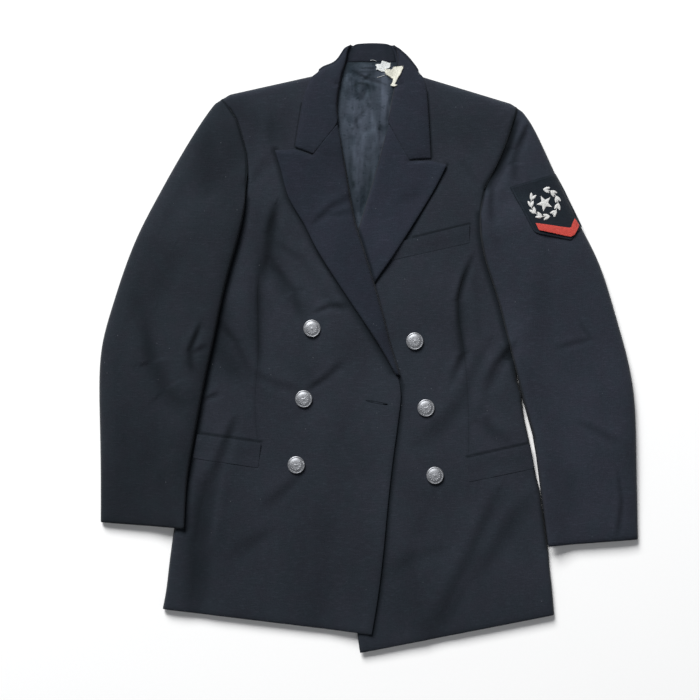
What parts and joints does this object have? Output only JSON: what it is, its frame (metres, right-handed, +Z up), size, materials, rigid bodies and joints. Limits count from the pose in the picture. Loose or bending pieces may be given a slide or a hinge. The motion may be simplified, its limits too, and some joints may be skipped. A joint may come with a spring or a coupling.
{
  "type": "service dress jacket",
  "caption": "Dark navy double-breasted tailored jacket with peaked lapels, welt pockets, domed silver buttons and a sleeve badge, laid flat and open.",
  "frame": {"origin": "middle of the jacket's outline, on the surface that it lies on", "axes": "+Y from the hem to the collar, +Z up from the back to the front of the jacket, +X to the wearer's left"},
  "size_m": [0.721, 0.817, 0.0177],
  "materials": {
    "wool": "dark navy twill, matte with a faint nap",
    "facing": "dark navy twill on the lapels and collar, a little bluer",
    "satin": "blue-grey lining with a soft sheen",
    "silver": "oxidised silver-coloured metal, satin",
    "badge_cloth": "near-black backing cloth",
    "red_thread": "red embroidery",
    "white_thread": "off-white embroidery",
    "white_tape": "white woven tape, torn",
    "cream_tape": "cream woven tape, torn"
  },
  "bodies": {
    "root": {"back": "wool", "left_front": "wool", "right_front": "wool", "left_top_sleeve": "wool", "left_under_sleeve": "wool", "right_top_sleeve": "wool", "right_under_sleeve": "wool", "breast_welt": "wool", "left_hip_welt": "wool", "right_hip_welt": "wool", "left_lapel": "facing", "right_lapel": "facing", "collar": "facing", "collar_stand": "facing", "back_lining": "satin", "button_right_top": "silver", "button_right_middle": "silver", "button_right_bottom": "silver", "button_left_top": "silver", "button_left_middle": "silver", "button_left_bottom": "silver", "badge_patch": "badge_cloth", "badge_chevron": "red_thread", "badge_star": "white_thread", "badge_sprig_left": "white_thread", "badge_sprig_right": "white_thread", "neck_label": "white_tape", "size_label": "cream_tape"}
  },
  "joints": []
}
